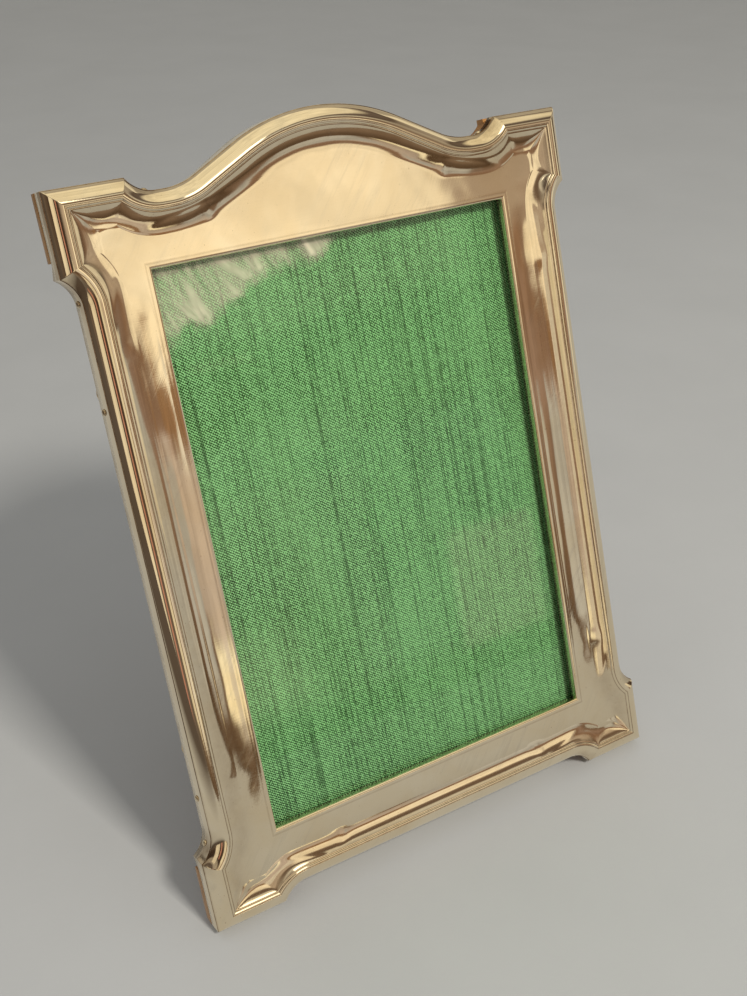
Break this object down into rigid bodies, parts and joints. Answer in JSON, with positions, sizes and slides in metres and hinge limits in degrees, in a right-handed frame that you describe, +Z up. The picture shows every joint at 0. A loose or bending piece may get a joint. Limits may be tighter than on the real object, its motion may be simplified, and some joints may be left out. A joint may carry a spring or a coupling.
{
  "type": "photo frame",
  "caption": "Upright easel photo frame: moulded silver front with square ears and an arched top, green silk panel behind glass, oak back and a hinged folding strut.",
  "frame": {"origin": "on the floor, under the middle of the bounding box", "axes": "+Z up, +X to the viewer's right, the silver front faces -Y and leans back towards +Y"},
  "size_m": [0.1388, 0.0878, 0.1843],
  "materials": {
    "silver": "polished warm silver sheet, tarnished in the recesses",
    "oak": "waxed golden-brown oak",
    "board_oak": "waxed oak",
    "glass": "clear picture glass",
    "silk": "green slubbed silk",
    "card": "plain card",
    "brass": "polished brass",
    "ribbon": "brown grosgrain ribbon"
  },
  "bodies": {
    "frame": {"back_board": "board_oak", "button_screw_1": "brass", "button_screw_2": "brass", "button_screw_3": "brass", "button_screw_4": "brass", "edge_pin_1": "brass", "edge_pin_10": "brass", "edge_pin_11": "brass", "edge_pin_12": "brass", "edge_pin_2": "brass", "edge_pin_3": "brass", "edge_pin_4": "brass", "edge_pin_5": "brass", "edge_pin_6": "brass", "edge_pin_7": "brass", "edge_pin_8": "brass", "edge_pin_9": "brass", "glass_pane": "glass", "hinge_leaf_board": "brass", "hinge_pin": "brass", "hinge_screw_1": "brass", "hinge_screw_2": "brass", "mount_card": "card", "oak_frame": "oak", "silk_panel": "silk", "silver_front": "silver", "stay_ribbon": "ribbon", "stay_tack_board": "brass"},
    "strut": {"strut": "oak", "hinge_leaf_strut": "brass", "hinge_screw_3": "brass", "hinge_screw_4": "brass", "stay_tack_strut": "brass"},
    "button_1": {"turn_button_1": "brass"},
    "button_2": {"turn_button_2": "brass"},
    "button_3": {"turn_button_3": "brass"},
    "button_4": {"turn_button_4": "brass"}
  },
  "joints": [
    {"name": "strut_fold", "type": "hinge", "parent": "frame", "child": "strut", "pos_m": [0, 0.00956, 0.1154], "axis": [1, 0, 0], "range_deg": [-35, 0], "deforming": ["stay_ribbon"]},
    {"name": "button_1_turn", "type": "hinge", "parent": "frame", "child": "button_1", "pos_m": [-0.0563, 0.01294, 0.12878], "axis": [0, 0.9397, -0.342], "continuous": true},
    {"name": "button_2_turn", "type": "hinge", "parent": "frame", "child": "button_2", "pos_m": [0.0563, 0.01294, 0.12878], "axis": [0, 0.9397, -0.342], "continuous": true},
    {"name": "button_3_turn", "type": "hinge", "parent": "frame", "child": "button_3", "pos_m": [-0.0563, -0.01834, 0.04285], "axis": [0, 0.9397, -0.342], "continuous": true},
    {"name": "button_4_turn", "type": "hinge", "parent": "frame", "child": "button_4", "pos_m": [0.0563, -0.01834, 0.04285], "axis": [0, 0.9397, -0.342], "continuous": true}
  ]
}
